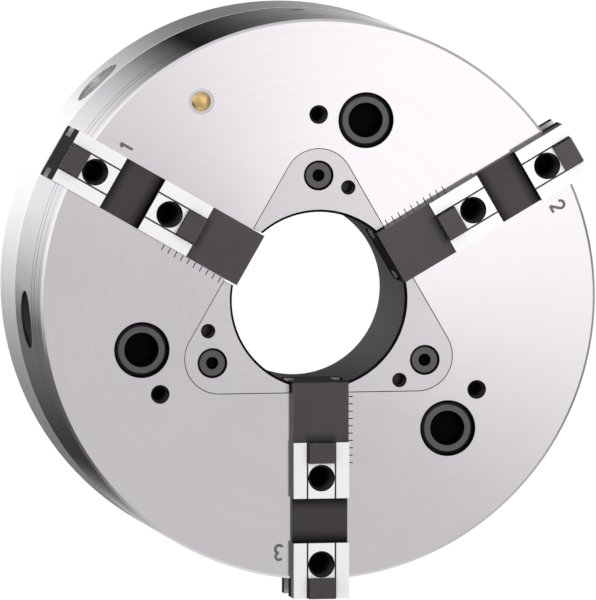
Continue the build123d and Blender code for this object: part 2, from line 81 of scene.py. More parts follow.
def beyond(tree, x, y):
    # distance from the middle, from two coordinates
    return calc(tree, "SQRT", calc(tree, "ADD", times(tree, x, x), times(tree, y, y)))


def mixColors(tree, mask, colorA, colorB, blend="MIX"):
    node = put(tree, "ShaderNodeMix", {0: mask, 6: colorA, 7: colorB}, data_type="RGBA", blend_type=blend)
    return node.outputs[2]


def mixValues(tree, mask, a, b):
    return put(tree, "ShaderNodeMix", {0: mask, 2: a, 3: b}, data_type="FLOAT").outputs[0]


def grey(value):
    return (value, value, value, 1.0)


def greyFrom(tree, tone):
    return put(tree, "ShaderNodeCombineXYZ", {0: tone, 1: tone, 2: tone}).outputs[0]


def toned(tree, color, tone):
    # a colour, or the output of a colour node, made darker or brighter by a tone
    color = (*color, 1.0) if isinstance(color, tuple) else color
    return mixColors(tree, 1.0, color, greyFrom(tree, tone), "MULTIPLY")


# ---------- effects that several finishes share

def newEffect(name, numbers, results):
    tree = bpy.data.node_groups.new(name, "ShaderNodeTree")
    tree.interface.new_socket(name="Vector", in_out="INPUT", socket_type="NodeSocketVector")
    for label, value in numbers.items():
        socket = tree.interface.new_socket(name=label, in_out="INPUT", socket_type="NodeSocketFloat")
        socket.default_value = value
    for label in results:
        tree.interface.new_socket(name=label, in_out="OUTPUT", socket_type="NodeSocketFloat")
    return tree, tree.nodes.new("NodeGroupInput"), tree.nodes.new("NodeGroupOutput")


# rings cut by a turning or grinding wheel, round the chuck's axis
turnedRings, given, result = newEffect("turnedRings", {"Rings": 900.0, "Wander": 1.6},
                                       ("Lines", "Radius", "Depth"))
parts = put(turnedRings, "ShaderNodeSeparateXYZ", {0: given.outputs["Vector"]})
acrossX, depth, acrossZ = parts.outputs
radius = beyond(turnedRings, acrossX, acrossZ)
wander = given.outputs["Wander"]
ringStep = calc(turnedRings, "ADD", radius, times(turnedRings, depth, 0.7))
ringPlace = put(turnedRings, "ShaderNodeCombineXYZ", {
    0: times(turnedRings, ringStep, given.outputs["Rings"]),
    1: times(turnedRings, calc(turnedRings, "DIVIDE", acrossX, radius), wander),
    2: times(turnedRings, calc(turnedRings, "DIVIDE", acrossZ, radius), wander)})
ringNoise = put(turnedRings, "ShaderNodeTexNoise", {
    "Vector": ringPlace.outputs[0], "Scale": 1.0, "Detail": 4.0, "Roughness": 0.62})
turnedRings.links.new(ringNoise.outputs[0], result.inputs["Lines"])
turnedRings.links.new(radius, result.inputs["Radius"])
turnedRings.links.new(depth, result.inputs["Depth"])

# straight lines left by a belt or a surface grinder
straightGrain, given, result = newEffect("straightGrain", {"Turn": 0.0, "Across": 2600.0, "Along": 40.0},
                                         ("Lines",))
grainTurn = put(straightGrain, "ShaderNodeCombineXYZ", {1: given.outputs["Turn"]})
grainScale = put(straightGrain, "ShaderNodeCombineXYZ", {
    0: given.outputs["Along"], 1: given.outputs["Across"], 2: given.outputs["Across"]})
grainPlace = put(straightGrain, "ShaderNodeMapping", {
    "Vector": given.outputs["Vector"], "Rotation": grainTurn.outputs[0], "Scale": grainScale.outputs[0]})
grainNoise = put(straightGrain, "ShaderNodeTexNoise", {
    "Vector": grainPlace.outputs[0], "Scale": 1.0, "Detail": 3.0, "Roughness": 0.6})
straightGrain.links.new(grainNoise.outputs[0], result.inputs["Lines"])

# soft cloudy patches from oil, wiping and handling
handledPatches, given, result = newEffect("handledPatches", {"Size": 40.0, "Sharpness": 0.2}, ("Patches",))
cloud = put(handledPatches, "ShaderNodeTexNoise", {
    "Vector": given.outputs["Vector"], "Scale": given.outputs["Size"], "Detail": 5.0, "Roughness": 0.55,
    "Distortion": 0.4})
patchLow = calc(handledPatches, "SUBTRACT", 0.5, given.outputs["Sharpness"])
patchHigh = calc(handledPatches, "ADD", 0.5, given.outputs["Sharpness"])
patches = rescale(handledPatches, cloud.outputs[0], patchLow, patchHigh, soft=True)
handledPatches.links.new(patches, result.inputs["Patches"])

# a few hairlines in two directions, from chips and bar ends
hairScratches, given, result = newEffect("hairScratches", {"Amount": 0.5}, ("Scratches",))
hairSum = None
for turn, stretch in ((0.5, 900.0), (-0.9, 1300.0)):
    hairPlace = put(hairScratches, "ShaderNodeMapping", {
        "Vector": given.outputs["Vector"], "Rotation": (0.0, turn, 0.0), "Scale": (18.0, 60.0, stretch)})
    hairNoise = put(hairScratches, "ShaderNodeTexNoise", {
        "Vector": hairPlace.outputs[0], "Scale": 1.0, "Detail": 1.0, "Roughness": 0.4})
    hair = rescale(hairScratches, hairNoise.outputs[0], 0.70, 0.76)
    hairSum = hair if hairSum is None else calc(hairScratches, "MAXIMUM", hairSum, hair)
hairScratches.links.new(times(hairScratches, hairSum, given.outputs["Amount"]), result.inputs["Scratches"])

# the fine grit of black oxide, a hardened scale or a moulded skin
fineGrit, given, result = newEffect("fineGrit", {"Size": 1800.0}, ("Grit",))
gritNoise = put(fineGrit, "ShaderNodeTexNoise", {
    "Vector": given.outputs["Vector"], "Scale": given.outputs["Size"], "Detail": 3.0, "Roughness": 0.7})
fineGrit.links.new(gritNoise.outputs[0], result.inputs["Grit"])


def nearestSpot(name, spots):
    # how far, across the axis, the surface is from the nearest of these places
    tree, given, result = newEffect(name, {}, ("Distance",))
    flat = put(tree, "ShaderNodeVectorMath", {0: given.outputs["Vector"], 1: (1.0, 0.0, 1.0)},
               operation="MULTIPLY").outputs[0]
    nearest = None
    for spot in spots:
        away = put(tree, "ShaderNodeVectorMath", {0: flat, 1: spot}, operation="DISTANCE").outputs["Value"]
        nearest = away if nearest is None else calc(tree, "MINIMUM", nearest, away)
    tree.links.new(nearest, result.inputs["Distance"])
    return tree


def onCircle(radiusMm, angle, depth=0.0):
    return (radiusMm / 1000 * cos(radians(angle)), depth, radiusMm / 1000 * sin(radians(angle)))


jawHoleSpots = nearestSpot("jawHoleSpots", [onCircle(reach, angle) for angle in jawAngles.values()
                                            for reach in jawHoleReach])
bigHeadSpots = nearestSpot("bigHeadSpots", [onCircle(screwReach, angle) for angle in screwAngles])
lowHeadSpots = nearestSpot("lowHeadSpots", [onCircle(sleeveScrewReach, angle) for angle in betweenJaws])
faceThreadSpots = nearestSpot("faceThreadSpots", [onCircle(screwReach, angle) for angle in betweenJaws])
jackSpots = nearestSpot("jackSpots", [onCircle(jackReach, angle) for angle in screwAngles])

# how far the surface is from the middle plane of the nearest jaw, and how far out along that jaw
jawFrame, given, result = newEffect("jawFrame", {}, ("Sideways", "Along"))
nearestPlane = outward = None
for angle in jawAngles.values():
    jawWay = (cos(radians(angle)), 0.0, sin(radians(angle)))
    crossWay = (-jawWay[2], 0.0, jawWay[0])
    across = put(jawFrame, "ShaderNodeVectorMath", {0: given.outputs["Vector"], 1: crossWay},
                 operation="DOT_PRODUCT").outputs["Value"]
    across = calc(jawFrame, "ABSOLUTE", across)
    along = put(jawFrame, "ShaderNodeVectorMath", {0: given.outputs["Vector"], 1: jawWay},
                operation="DOT_PRODUCT").outputs["Value"]
    nearestPlane = across if nearestPlane is None else calc(jawFrame, "MINIMUM", nearestPlane, across)
    outward = along if outward is None else calc(jawFrame, "MAXIMUM", outward, along)
jawFrame.links.new(nearestPlane, result.inputs["Sideways"])
jawFrame.links.new(outward, result.inputs["Along"])
print("shared effects ready")


def newFinish(name):
    material = bpy.data.materials.new(name)
    material.use_nodes = True
    tree = material.node_tree
    shader = tree.nodes["Principled BSDF"]
    shader.inputs["Metallic"].default_value = 1.0
    place = put(tree, "ShaderNodeTexCoord").outputs["Object"]
    return material, tree, shader, place


def effect(tree, group, place, **numbers):
    node = put(tree, "ShaderNodeGroup", node_tree=group)
    tree.links.new(place, node.inputs["Vector"])
    for label, value in numbers.items():
        node.inputs[label].default_value = value
    return node.outputs


def relief(tree, shader, height, strength, distance):
    bump = put(tree, "ShaderNodeBump", {"Height": height, "Strength": strength, "Distance": distance})
    tree.links.new(bump.outputs[0], shader.inputs["Normal"])


def paint(name, material):
    shown = nodes[name]
    shown.data.materials.clear()
    shown.data.materials.append(material)


# ---------- chuck body: bright ground face, polished rim, dark insides that are partly darker steel and partly painted shade

bodyLook = {"face": (0.84, 0.802, 0.835), "rim": (0.82, 0.805, 0.82), "inside": 0.15, "rails": 0.7,
            "ticks": 0.02, "digits": 0.21, "holes": 0.02, "holeReach": 0.0045, "digitsFrom": 0.1,
            "faceRough": 0.10, "rimRough": 0.055, "insideRough": 0.42, "rings": 5200.0}
bodyFinish, tree, shader, place = newFinish("groundBodySteel")
ring = effect(tree, turnedRings, place, Rings=bodyLook["rings"], Wander=2.2)
wide = effect(tree, turnedRings, place, Rings=420.0, Wander=0.8)
patch = effect(tree, handledPatches, place, Size=26.0, Sharpness=0.22)["Patches"]
hair = effect(tree, hairScratches, place, Amount=0.35)["Scratches"]
onFace = calc(tree, "LESS_THAN", ring["Depth"], underFace)
onMarks = within(tree, ring["Depth"], underFace - hairStep, underMarks)
onRim = calc(tree, "GREATER_THAN", ring["Radius"], insideRim)
bright = calc(tree, "MAXIMUM", onFace, onRim)
faceTone = rescale(tree, ring["Lines"], 0.2, 0.8, 0.975, 1.02)
faceTone = times(tree, faceTone, rescale(tree, wide["Lines"], 0.3, 0.7, 0.985, 1.01))
faceTone = times(tree, faceTone, rescale(tree, patch, 0.0, 1.0, 0.988, 1.006))
faceTone = calc(tree, "SUBTRACT", faceTone, times(tree, hair, 0.03))
faceColor = toned(tree, bodyLook["face"], faceTone)
color = mixColors(tree, onRim, faceColor, (*bodyLook["rim"], 1.0))
onRails = calc(tree, "LESS_THAN", ring["Radius"], insideBoreEdge)
faceThreadAway = effect(tree, faceThreadSpots, place)["Distance"]
# painted shade: the face's threaded holes are coloured near black where shade falls in them
inShadedHoles = calc(tree, "LESS_THAN", faceThreadAway, bodyLook["holeReach"])
# the insides are darker machined steel, darkened further as painted shade in the recesses
insideSteelAndShade = mixColors(tree, onRails, grey(bodyLook["inside"]), grey(bodyLook["rails"]))
insideSteelAndShade = mixColors(tree, inShadedHoles, insideSteelAndShade, grey(bodyLook["holes"]))
color = mixColors(tree, bright, insideSteelAndShade, color)
onDigits = calc(tree, "GREATER_THAN", ring["Radius"], bodyLook["digitsFrom"])
markColor = mixColors(tree, onDigits, grey(bodyLook["ticks"]), grey(bodyLook["digits"]))
color = mixColors(tree, times(tree, onMarks, calc(tree, "SUBTRACT", 1.0, onRim)), color, markColor)
tree.links.new(color, shader.inputs["Base Color"])
rough = mixValues(tree, onRim, bodyLook["faceRough"], bodyLook["rimRough"])
rough = mixValues(tree, bright, bodyLook["insideRough"], rough)
rough = calc(tree, "ADD", rough, rescale(tree, ring["Lines"], 0.2, 0.8, -0.012, 0.02))
rough = calc(tree, "ADD", rough, rescale(tree, patch, 0.0, 1.0, 0.0, 0.02))
tree.links.new(rough, shader.inputs["Roughness"])
relief(tree, shader, ring["Lines"], 0.05, 0.00001)
paint("chuck_body", bodyFinish)

# ---------- rear flange: paler, finely turned

flangeLook = {"color": (0.95, 0.945, 0.95), "rough": 0.22, "inside": 0.62, "insideRough": 0.38,
              "nippleHole": 0.95, "nippleHoleFrom": 0.113, "rearFrom": -0.0002}
flangeFinish, tree, shader, place = newFinish("turnedFlangeSteel")
ring = effect(tree, turnedRings, place, Rings=3600.0, Wander=1.4)
patch = effect(tree, handledPatches, place, Size=34.0, Sharpness=0.25)["Patches"]
onRim = calc(tree, "GREATER_THAN", ring["Radius"], insideRim)
onRear = calc(tree, "GREATER_THAN", ring["Depth"], flangeLook["rearFrom"])
outside = calc(tree, "MAXIMUM", onRim, onRear)
inNippleHole = calc(tree, "GREATER_THAN", ring["Radius"], flangeLook["nippleHoleFrom"])
insideTone = mixValues(tree, inNippleHole, flangeLook["inside"], flangeLook["nippleHole"])
color = mixColors(tree, outside, greyFrom(tree, insideTone), (*flangeLook["color"], 1.0))
tone = times(tree, rescale(tree, ring["Lines"], 0.2, 0.8, 0.97, 1.02),
             rescale(tree, patch, 0.0, 1.0, 0.98, 1.01))
tree.links.new(toned(tree, color, tone), shader.inputs["Base Color"])
rough = calc(tree, "ADD", mixValues(tree, outside, flangeLook["insideRough"], flangeLook["rough"]),
             rescale(tree, ring["Lines"], 0.2, 0.8, -0.03, 0.04))
tree.links.new(rough, shader.inputs["Roughness"])
relief(tree, shader, ring["Lines"], 0.06, 0.00001)
paint("rear_flange", flangeFinish)

# ---------- centre sleeve: brushed three-lobed flange, dark bore

sleeveLook = {"plate": (0.770, 0.738, 0.765), "plateFrom": 0.04168, "plateRough": 0.28, "grainTurn": 0.35,
              "bore": 0.030, "boreRough": 0.62, "mouth": 0.012, "mouthTo": 0.0418, "mouthDepth": -0.1170,
              "holes": 0.02, "holeReach": 0.0035}
sleeveFinish, tree, shader, place = newFinish("brushedSleeveSteel")
ring = effect(tree, turnedRings, place, Rings=2400.0, Wander=1.2)
grain = effect(tree, straightGrain, place, Turn=sleeveLook["grainTurn"], Across=3000.0, Along=60.0)["Lines"]
patch = effect(tree, handledPatches, place, Size=60.0, Sharpness=0.2)["Patches"]
onPlate = times(tree, calc(tree, "LESS_THAN", ring["Depth"], underFace),
                calc(tree, "GREATER_THAN", ring["Radius"], sleeveLook["plateFrom"]))
tone = times(tree, rescale(tree, grain, 0.25, 0.75, 0.95, 1.04), rescale(tree, patch, 0.0, 1.0, 0.98, 1.01))
plateColor = toned(tree, sleeveLook["plate"], tone)
boreTone = rescale(tree, ring["Lines"], 0.2, 0.8, sleeveLook["bore"] * 0.8, sleeveLook["bore"] * 1.25)
onMouth = times(tree, calc(tree, "LESS_THAN", ring["Depth"], sleeveLook["mouthDepth"]),
                calc(tree, "LESS_THAN", ring["Radius"], sleeveLook["mouthTo"]))
boreColor = mixColors(tree, onMouth, greyFrom(tree, boreTone), grey(sleeveLook["mouth"]))
# painted shade: the jack screw holes are coloured near black where shade falls in them
inShadedHoles = calc(tree, "LESS_THAN", effect(tree, jackSpots, place)["Distance"], sleeveLook["holeReach"])
boreColor = mixColors(tree, inShadedHoles, boreColor, grey(sleeveLook["holes"]))
tree.links.new(mixColors(tree, onPlate, boreColor, plateColor), shader.inputs["Base Color"])
rough = mixValues(tree, onPlate, sleeveLook["boreRough"], sleeveLook["plateRough"])
rough = calc(tree, "ADD", rough, rescale(tree, grain, 0.2, 0.8, -0.03, 0.05))
tree.links.new(rough, shader.inputs["Roughness"])
relief(tree, shader, grain, 0.06, 0.00001)
paint("center_sleeve", sleeveFinish)

# ---------- base jaws: hardened dark flanks, bright ground lands and guide rails

# the slot and hole tones are painted shade: the cross slot's floor and the screw holes are coloured darker
# where shade falls
jawLook = {"dark": 0.100, "slot": 0.078, "land": (0.96, 0.96, 0.965), "landRough": 0.24, "darkRough": 0.3,
           "roughSpread": 0.08, "rail": 0.68, "hole": 0.005, "tint": (1.0, 0.895, 0.915), "edgeTint": 0.12,
           "darkMetal": 0.95, "landMetal": 0.45, "wallMetal": 0.45}
# where the jaw's surfaces lie, from the middle plane, along the jaw and along the axis
jawEdges = {"hole": 0.0062, "land": (-0.12625, -0.12595), "slot": (-0.12125, -0.12095),
            "flat": (-0.12475, -0.12445), "groove": (-0.1118, -0.0998), "grooveFloor": (0.0085, 0.0089),
            "grooveTop": (-0.1116, -0.1114), "grooveBottom": (-0.1001, -0.0999), "slotFrom": 0.0916,
            "slotTo": 0.1123, "flatTo": 0.0657, "wall": 0.01285, "aboveFace": -0.1186}
jawFinish, tree, shader, place = newFinish("hardenedJawSteel")
shader.inputs["Specular Tint"].default_value = grey(jawLook["edgeTint"])
depth = put(tree, "ShaderNodeSeparateXYZ", {0: place}).outputs[1]
jawPlace = effect(tree, jawFrame, place)
sideways, along = jawPlace["Sideways"], jawPlace["Along"]
holeAway = effect(tree, jawHoleSpots, place)["Distance"]
grit = effect(tree, fineGrit, place, Size=1500.0)["Grit"]
grain = effect(tree, straightGrain, place, Turn=0.0, Across=2400.0, Along=300.0)["Lines"]
patch = effect(tree, handledPatches, place, Size=70.0, Sharpness=0.25)["Patches"]
inShadedHoles = calc(tree, "LESS_THAN", holeAway, jawEdges["hole"])
onLand = times(tree, within(tree, depth, *jawEdges["land"]), calc(tree, "SUBTRACT", 1.0, inShadedHoles))
onSlot = within(tree, depth, *jawEdges["slot"])
# the guide grooves are ground bright, on their floors and both their sides
onGrooveFloor = times(tree, within(tree, depth, *jawEdges["groove"]),
                      within(tree, sideways, *jawEdges["grooveFloor"]))
bothSides = calc(tree, "MAXIMUM", within(tree, depth, *jawEdges["grooveTop"]),
                 within(tree, depth, *jawEdges["grooveBottom"]))
onGrooveSides = times(tree, calc(tree, "GREATER_THAN", sideways, jawEdges["grooveFloor"][0]), bothSides)
onRails = calc(tree, "MAXIMUM", onGrooveFloor, onGrooveSides)
# painted shade in the corners: the slot is darker overall and darkens further to both its ends, the inner
# flat darkens towards the tongue
slotEdge = calc(tree, "MINIMUM", calc(tree, "SUBTRACT", along, jawEdges["slotFrom"]),
                calc(tree, "SUBTRACT", jawEdges["slotTo"], along))
slotShadeTone = times(tree, rescale(tree, slotEdge, 0.0, 0.0065, 0.22, 1.0, soft=True), jawLook["slot"])
flatEdge = calc(tree, "SUBTRACT", jawEdges["flatTo"], along)
besideTongue = rescale(tree, sideways, 0.0055, 0.0085, 1.0, 0.3, soft=True)
nearTongue = calc(tree, "SUBTRACT", 1.0, rescale(tree, flatEdge, 0.0, 0.0055, soft=True))
flatShade = times(tree, times(tree, nearTongue, besideTongue), within(tree, depth, *jawEdges["flat"]))
flatShadeTone = times(tree, calc(tree, "SUBTRACT", 1.0, times(tree, flatShade, 0.6)), jawLook["dark"])
darkTone = times(tree, rescale(tree, grit, 0.25, 0.75, 0.96, 1.04),
                 rescale(tree, patch, 0.0, 1.0, 0.95, 1.05))
darkTone = times(tree, darkTone, mixValues(tree, onSlot, flatShadeTone, slotShadeTone))
darkTone = mixValues(tree, onRails, darkTone, jawLook["rail"])
# painted shade: the jaw's screw holes are coloured near black
darkTone = mixValues(tree, inShadedHoles, darkTone, jawLook["hole"])
darkTint = mixColors(tree, onRails, (*jawLook["tint"], 1.0), grey(1.0))
darkColor = toned(tree, darkTint, darkTone)
landColor = toned(tree, jawLook["land"], rescale(tree, grain, 0.25, 0.75, 0.95, 1.02))
tree.links.new(mixColors(tree, onLand, darkColor, landColor), shader.inputs["Base Color"])
onWalls = times(tree, calc(tree, "GREATER_THAN", sideways, jawEdges["wall"]),
                calc(tree, "LESS_THAN", depth, jawEdges["aboveFace"]))
darkMetal = mixValues(tree, onWalls, jawLook["darkMetal"], jawLook["wallMetal"])
tree.links.new(mixValues(tree, onLand, darkMetal, jawLook["landMetal"]), shader.inputs["Metallic"])
darkRough = rescale(tree, grit, 0.2, 0.8, jawLook["darkRough"] - jawLook["roughSpread"],
                    jawLook["darkRough"] + jawLook["roughSpread"])
rough = mixValues(tree, onLand, darkRough, jawLook["landRough"])
tree.links.new(rough, shader.inputs["Roughness"])
relief(tree, shader, grit, 0.03, 0.00001)
for number in jawAngles:
    paint(f"base_jaw_{number}", jawFinish)

# ---------- screws, pins, rings and small fittings

# painted shade: the colour put inside the key sockets
socketShade = 0.004


def plainSteel(name, color, rough, grit=0.12, size=1500.0, turned=0.0, sockets=()):
    material, tree, shader, place = newFinish(name)
    speck = effect(tree, fineGrit, place, Size=size)["Grit"]
    patch = effect(tree, handledPatches, place, Size=90.0, Sharpness=0.25)["Patches"]
    tone = times(tree, rescale(tree, speck, 0.25, 0.75, 1.0 - grit, 1.0 + grit),
                 rescale(tree, patch, 0.0, 1.0, 0.94, 1.03))
    height = speck
    if turned:
        lines = effect(tree, turnedRings, place, Rings=turned, Wander=1.2)["Lines"]
        tone = times(tree, tone, rescale(tree, lines, 0.2, 0.8, 0.9, 1.08))
        height = lines
    finished = toned(tree, color, tone)
    for spots, reach, top in sockets:
        depth = put(tree, "ShaderNodeSeparateXYZ", {0: place}).outputs[1]
        inShadedSocket = times(tree, calc(tree, "LESS_THAN", effect(tree, spots, place)["Distance"], reach),
                         calc(tree, "GREATER_THAN", depth, top))
        finished = mixColors(tree, inShadedSocket, finished, grey(socketShade))
    tree.links.new(finished, shader.inputs["Base Color"])
    tree.links.new(rescale(tree, speck, 0.2, 0.8, rough - 0.05, rough + 0.06), shader.inputs["Roughness"])
    relief(tree, shader, height, 0.15, 0.00002)
    return material


fittingLook = {
    "wedge_piston": ("groundPistonSteel", (0.46, 0.46, 0.47), 0.3, 3000.0),
    "draw_tube_ring": ("turnedRingSteel", (0.48, 0.48, 0.49), 0.3, 2600.0),
    "flange_dowel_pins": ("brightPinSteel", (0.66, 0.66, 0.67), 0.2, 0.0),
    "ring_retainer_screws": ("blackScrewSteel", (0.08, 0.08, 0.085), 0.42, 0.0),
    "grease_nipple": ("zincPlatedSteel", (0.76, 0.75, 0.72), 0.28, 0.0),
    "mounting_screws": ("oxideHeadSteel", (0.145, 0.145, 0.148), 0.44, 0.0),
}
sameFinish = {
    "ring_retainer": "draw_tube_ring", "piston_guide_pins": "flange_dowel_pins",
    "grease_port_insert": "flange_dowel_pins", "ring_detent_plungers": "ring_retainer_screws",
    "radial_set_screws": "ring_retainer_screws", "sleeve_screws": "mounting_screws",
}
# the key sockets, by their spots, their reach and the depth they start at; inside them the screws are
# coloured near black as painted shade
headSockets = ((bigHeadSpots, 0.0082, -0.11735), (lowHeadSpots, 0.00295, -0.1179))
madeFinish = {}
for nodeName, (finishName, color, rough, rings) in fittingLook.items():
    sockets = headSockets if nodeName == "mounting_screws" else ()
    madeFinish[nodeName] = plainSteel(finishName, color, rough, turned=rings, sockets=sockets)
    paint(nodeName, madeFinish[nodeName])
for nodeName, source in sameFinish.items():
    paint(nodeName, madeFinish[source])

brassLook = {"color": (0.83, 0.60, 0.26), "deep": (0.50, 0.33, 0.12), "rough": 0.24}
brassFinish, tree, shader, place = newFinish("turnedValveBrass")
patch = effect(tree, handledPatches, place, Size=260.0, Sharpness=0.2)["Patches"]
speck = effect(tree, fineGrit, place, Size=2200.0)["Grit"]
tree.links.new(mixColors(tree, rescale(tree, patch, 0.0, 1.0, 0.0, 0.35), (*brassLook["color"], 1.0),
                         (*brassLook["deep"], 1.0)), shader.inputs["Base Color"])
tree.links.new(rescale(tree, speck, 0.2, 0.8, brassLook["rough"] - 0.04, brassLook["rough"] + 0.08),
               shader.inputs["Roughness"])
relief(tree, shader, speck, 0.1, 0.00002)
paint("grease_port_valve", brassFinish)

rubberLook = {"color": 0.02, "rough": 0.6}
rubberFinish, tree, shader, place = newFinish("nitrileRubber")
shader.inputs["Metallic"].default_value = 0.0
speck = effect(tree, fineGrit, place, Size=2600.0)["Grit"]
rubberTone = rescale(tree, speck, 0.2, 0.8, rubberLook["color"] * 0.7, rubberLook["color"] * 1.5)
tree.links.new(greyFrom(tree, rubberTone), shader.inputs["Base Color"])
tree.links.new(rescale(tree, speck, 0.2, 0.8, rubberLook["rough"] - 0.08, rubberLook["rough"] + 0.1),
               shader.inputs["Roughness"])
relief(tree, shader, speck, 0.25, 0.00004)
paint("flange_o_ring", rubberFinish)
paint("sleeve_seal", rubberFinish)
print("finishes on all nodes")


# ---------- cut threads, as ridges wound up the walls of the holes

# painted shade: the threads in the holes are coloured near black for the shade that falls in them
shadedThreadFinish = plainSteel("shadedThreadSteel", (0.03, 0.03, 0.03), 0.4, grit=0.1, size=2200.0)
ringThreadFinish = plainSteel("cutRingThread", (0.46, 0.46, 0.47), 0.28, grit=0.1, size=2200.0)


def threadRidge(name, look):
    # one trapezium, out from the axis, is wound up by a screw modifier
    footShare, tipShare, sharp = 0.82, 0.2, radians(25)
    middle = look["wall"] - look["deep"] / 2
    bpy.ops.mesh.primitive_plane_add(size=1.0, location=(middle, 0.0, 0.0), rotation=(pi / 2, 0.0, 0.0))
    ridge = bpy.context.object
    ridge.name = ridge.data.name = name
    bpy.ops.object.transform_apply(location=True, rotation=True, scale=True)
    bpy.ops.object.mode_set(mode="EDIT")
    bpy.ops.mesh.select_mode(type="VERT")
    bpy.ops.mesh.select_all(action="SELECT")
    bpy.ops.transform.resize(value=(look["deep"], 1.0, look["pitch"] * footShare),
                             center_override=(middle, 0.0, 0.0))
    bpy.ops.mesh.select_all(action="DESELECT")
    bpy.ops.object.mode_set(mode="OBJECT")
    for vertex in ridge.data.vertices:
        vertex.select = vertex.co.x < middle
    bpy.ops.object.mode_set(mode="EDIT")
    bpy.ops.transform.resize(value=(1.0, 1.0, tipShare), center_override=(middle, 0.0, 0.0))
    bpy.ops.object.mode_set(mode="OBJECT")
    winding = ridge.modifiers.new("winding", "SCREW")
    winding.axis = "Z"
    winding.angle = 2 * pi
    winding.screw_offset = look["pitch"]
    winding.iterations = look["turns"]
    winding.steps = winding.render_steps = look["steps"]
    winding.use_smooth_shade = False
    bpy.ops.object.modifier_apply(modifier="winding")
    bpy.ops.object.mode_set(mode="EDIT")
    bpy.ops.mesh.select_all(action="DESELECT")
    bpy.ops.mesh.select_non_manifold()
    bpy.ops.mesh.fill_holes(sides=6)
    bpy.ops.mesh.select_all(action="SELECT")
    bpy.ops.mesh.normals_make_consistent(inside=False)
    bpy.ops.object.mode_set(mode="OBJECT")
    bpy.ops.object.shade_smooth_by_angle(angle=sharp)
    return ridge


def placeRidge(pattern, name, spot, body, material):
    # a copy with its own mesh, turned so that it climbs towards the face
    bpy.ops.object.select_all(action="DESELECT")
    pattern.select_set(True)
    bpy.context.view_layer.objects.active = pattern
    bpy.ops.object.duplicate()
    ridge = bpy.context.object
    ridge.name = ridge.data.name = name
    ridge.rotation_euler = (pi / 2, 0.0, 0.0)
    ridge.location = spot
    bpy.ops.object.transform_apply(location=True, rotation=True, scale=True)
    ridge.data.materials.clear()
    ridge.data.materials.append(material)
    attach(ridge, body)
    ridge.select_set(False)


threadLook = {
    "jaw": {"wall": 0.00602, "deep": 0.00095, "pitch": 0.00175, "turns": 12, "steps": 32, "start": -0.1035},
    "face": {"wall": 0.00402, "deep": 0.0007, "pitch": 0.00125, "turns": 14, "steps": 28, "start": -0.0996},
    "jack": {"wall": 0.00302, "deep": 0.00055, "pitch": 0.001, "turns": 9, "steps": 24, "start": -0.1083},
    "tube": {"wall": 0.04702, "deep": 0.00085, "pitch": 0.0015, "turns": 9, "steps": 120, "start": -0.0238},
}
jawRidge = threadRidge("jawRidge", threadLook["jaw"])
for number, angle in jawAngles.items():
    for label, reach in zip(("Inner", "Outer"), jawHoleReach):
        placeRidge(jawRidge, f"jaw{number}{label}Thread", onCircle(reach, angle, threadLook["jaw"]["start"]),
                   f"jaw_{number}", shadedThreadFinish)
faceRidge = threadRidge("faceRidge", threadLook["face"])
for number, angle in enumerate(betweenJaws, start=1):
    placeRidge(faceRidge, f"faceThread{number}", onCircle(screwReach, angle, threadLook["face"]["start"]),
               "housing", shadedThreadFinish)
jackRidge = threadRidge("jackRidge", threadLook["jack"])
for number, angle in enumerate(screwAngles, start=1):
    placeRidge(jackRidge, f"jackThread{number}", onCircle(jackReach, angle, threadLook["jack"]["start"]),
               "housing", shadedThreadFinish)
tubeRidge = threadRidge("tubeRidge", threadLook["tube"])
placeRidge(tubeRidge, "drawTubeThread", (0.0, threadLook["tube"]["start"], 0.0), "draw_ring",
           ringThreadFinish)
for pattern in (jawRidge, faceRidge, jackRidge, tubeRidge):
    bpy.data.objects.remove(pattern)
print("threads cut")


# ---------- floor, light and camera

floorLook = {"height": -0.25, "size": 60.0, "color": 0.92, "rough": 0.9, "gloss": 0.1}
bpy.ops.mesh.primitive_plane_add(size=floorLook["size"], location=(0.0, 0.0, floorLook["height"]))
floor = bpy.context.object
floor.name = "floor"
floor.visible_glossy = False
floorFinish = bpy.data.materials.new("paleFloor")
floorFinish.use_nodes = True
tree = floorFinish.node_tree
shader = tree.nodes["Principled BSDF"]
shader.inputs["Base Color"].default_value = grey(floorLook["color"])
shader.inputs["Roughness"].default_value = floorLook["rough"]
shader.inputs["Specular IOR Level"].default_value = floorLook["gloss"]
side = put(tree, "ShaderNodeNewGeometry").outputs["Backfacing"]
clear = put(tree, "ShaderNodeBsdfTransparent").outputs[0]
seen = put(tree, "ShaderNodeMixShader", {0: side, 1: shader.outputs[0], 2: clear})
tree.links.new(seen.outputs[0], tree.nodes["Material Output"].inputs["Surface"])
floor.data.materials.append(floorFinish)

studioLook = {"soft": 1.12, "front": 0.80, "tint": (1.0, 0.985, 1.0), "frontFrom": (-0.62, -0.86),
              "behindFrom": (0.70, 0.88), "flangeFrom": (0.235, 0.32)}
# brightness of the wall behind the chuck, by angle round the axis in turns, as the polished rim mirrors it
rimGlow = ((0.0, 0.5), (0.075, 0.23), (0.119, 0.13), (0.164, 0.045), (0.208, 0.0), (0.253, 0.20),
           (0.297, 0.54), (0.342, 0.80), (0.386, 1.0), (0.431, 0.92), (0.475, 0.89), (0.519, 0.69),
           (0.564, 0.45), (0.608, 0.16), (0.653, 0.145), (0.697, 0.10), (0.742, 0.05), (0.786, 0.04),
           (0.831, 0.18), (0.875, 0.50), (0.919, 0.80), (0.964, 0.82))
# the same further out, which the duller flange mirrors
flangeGlow = ((0.0, 0.95), (0.075, 0.56), (0.119, 0.46), (0.164, 0.40), (0.208, 0.30), (0.253, 0.62),
              (0.297, 1.05), (0.342, 1.4), (0.386, 1.7), (0.431, 1.6), (0.475, 1.6), (0.519, 1.6),
              (0.564, 1.5), (0.608, 0.95), (0.653, 0.80), (0.697, 0.56), (0.742, 0.33), (0.786, 0.16),
              (0.831, 0.40), (0.875, 0.72), (0.919, 1.1), (0.964, 1.4))
